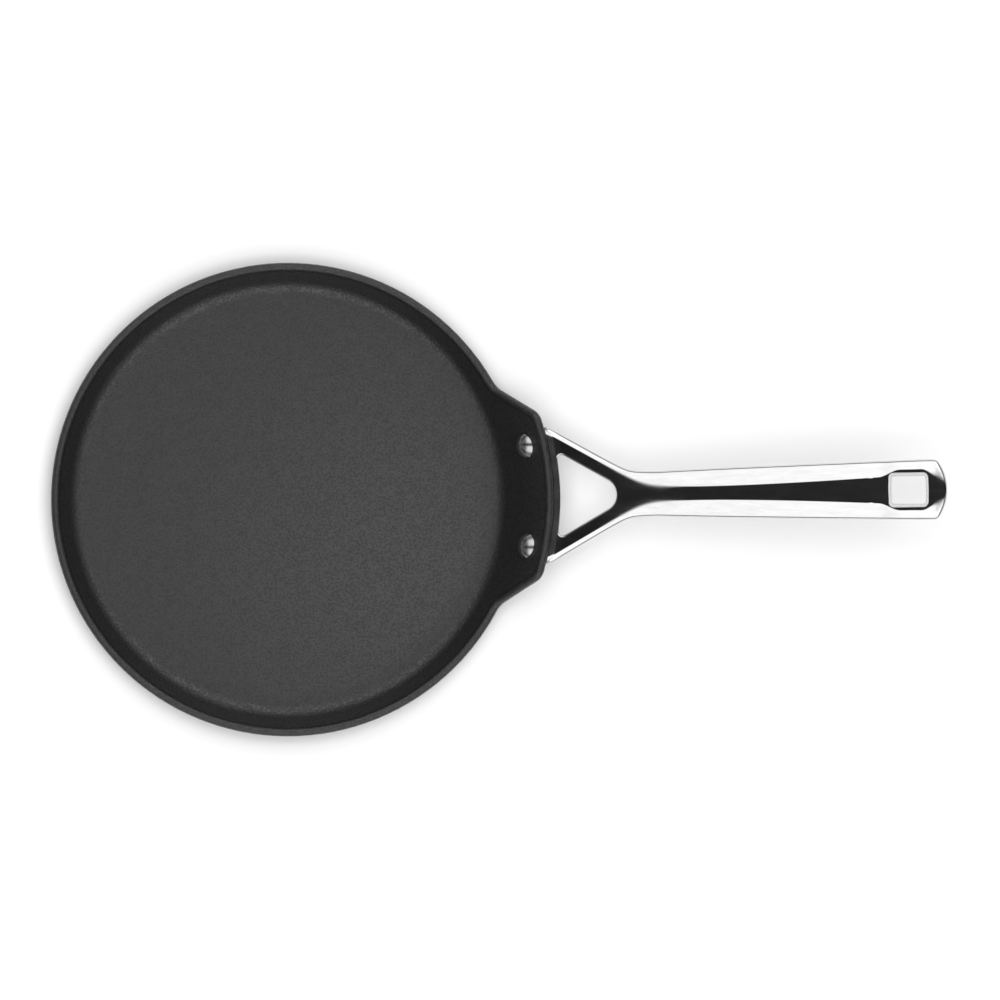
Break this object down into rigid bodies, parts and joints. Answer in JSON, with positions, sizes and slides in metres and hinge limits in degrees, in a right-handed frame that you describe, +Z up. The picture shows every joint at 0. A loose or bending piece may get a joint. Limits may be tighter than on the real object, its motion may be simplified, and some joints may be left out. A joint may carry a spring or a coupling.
{
  "type": "crepe pan",
  "caption": "Shallow round non-stick pan with a low flared wall, a raised ear and a riveted forked steel handle with a hanging hole.",
  "frame": {"origin": "On the pan's axis, at the face it rests on", "axes": "+X from the pan's centre along the handle, +Z up, symmetric left and right about the XZ plane"},
  "size_m": [0.4543, 0.24, 0.0649],
  "materials": {
    "pan_coat": "dark speckled non-stick coat on forged aluminium",
    "base_steel": "satin with fine turned rings",
    "handle_steel": "polished",
    "rivet_steel": "polished"
  },
  "bodies": {
    "root": {"pan_body": "pan_coat", "base_disc": "base_steel", "handle": "handle_steel", "rivet_left": "rivet_steel", "rivet_right": "rivet_steel"}
  },
  "joints": []
}
